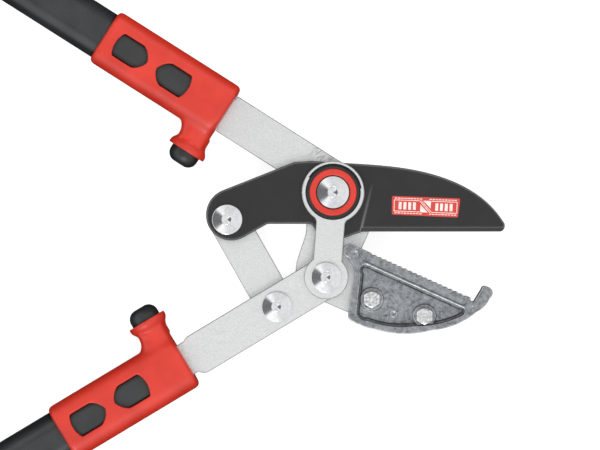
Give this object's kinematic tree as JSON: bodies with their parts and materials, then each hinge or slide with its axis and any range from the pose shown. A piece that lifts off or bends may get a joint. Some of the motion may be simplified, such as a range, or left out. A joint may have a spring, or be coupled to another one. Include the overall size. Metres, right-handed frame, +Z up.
{
  "type": "compound anvil lopper",
  "caption": "Compound-action anvil lopper with a black curved blade, a toothed cast anvil, flat steel levers and red-sleeved black tube handles with bumpers.",
  "frame": {"origin": "on the main pivot's axis, at the surface the lopper lies on, which the main pivot nut's face touches", "axes": "+X along the blade towards its tip, +Y from the handle pivot's side towards the upper handle, +Z up, out of the front of the plates"},
  "size_m": [0.6484, 0.7213, 0.028],
  "materials": {
    "zinc_plate": "bright zinc plate, fine grain, satin",
    "coated_blade": "black low-friction coating, matt",
    "blade_print": "printed panel, satin",
    "anvil_casting": "tumbled casting, mottled satin",
    "bolt_steel": "zinc plated, satin",
    "turned_steel": "turned and plated, bright",
    "black_oxide": "black oxide, satin",
    "red_plastic": "moulded, satin",
    "bush_bronze": "sintered bronze",
    "washer_nylon": "nylon",
    "core_nylon": "glass-filled nylon, matt",
    "black_rubber": "moulded rubber, matt",
    "grip_rubber": "soft grip, fine texture",
    "black_tube": "black powder coat, satin"
  },
  "bodies": {
    "frame": {"frame_plate": "zinc_plate", "anvil": "anvil_casting", "anvil_bolts": "bolt_steel", "anvil_nuts": "bolt_steel", "front_strap": "zinc_plate", "main_pivot_bolt": "turned_steel", "main_pivot_washer": "bolt_steel", "main_pivot_nut": "bolt_steel", "main_pivot_collar": "black_oxide", "main_pivot_ring": "red_plastic", "main_thrust_washer": "washer_nylon", "handle_pivot_bolt": "turned_steel", "handle_pivot_washer": "bolt_steel", "handle_pivot_nut": "bolt_steel", "handle_thrust_washer": "washer_nylon", "upper_sleeve": "red_plastic", "upper_bumper": "black_rubber", "upper_tube": "black_tube", "upper_core": "core_nylon", "upper_tang_pins": "bolt_steel", "upper_grip": "grip_rubber", "upper_end_cap": "red_plastic"},
    "lower_handle": {"lower_lever": "zinc_plate", "lever_bush": "bush_bronze", "link_pivot_bolt": "turned_steel", "link_pivot_washer": "bolt_steel", "link_pivot_nut": "bolt_steel", "link_thrust_washer": "washer_nylon", "lower_sleeve": "red_plastic", "lower_bumper": "black_rubber", "lower_tube": "black_tube", "lower_core": "core_nylon", "lower_tang_pins": "bolt_steel", "lower_grip": "grip_rubber", "lower_end_cap": "red_plastic"},
    "blade": {"blade": "coated_blade", "blade_bush": "bush_bronze", "blade_label": "blade_print", "tail_pivot_bolt": "turned_steel", "tail_pivot_washer": "bolt_steel", "tail_pivot_nut": "bolt_steel", "tail_thrust_washer": "washer_nylon"},
    "link": {"link": "zinc_plate", "link_bush": "bush_bronze"}
  },
  "joints": [
    {"name": "lower_handle_pivot", "type": "hinge", "parent": "frame", "child": "lower_handle", "pos_m": [-0.00443, -0.05502, 0.014], "axis": [0, 0, -1], "range_deg": [-15, 45]},
    {"name": "blade_pivot", "type": "hinge", "parent": "frame", "child": "blade", "pos_m": [0, 0, 0.0168], "axis": [0, 0, -1], "range_deg": [-8.1, 24.2]},
    {"name": "link_pivot", "type": "hinge", "parent": "lower_handle", "child": "link", "pos_m": [-0.03648, -0.07429, 0.014], "axis": [0, 0, 1], "range_deg": [-13.6, 40.6]}
  ],
  "couplings": [
    {"joint": "blade_pivot", "follows": "lower_handle_pivot", "ratio": 0.5377},
    {"joint": "link_pivot", "follows": "lower_handle_pivot", "ratio": 0.9005}
  ]
}
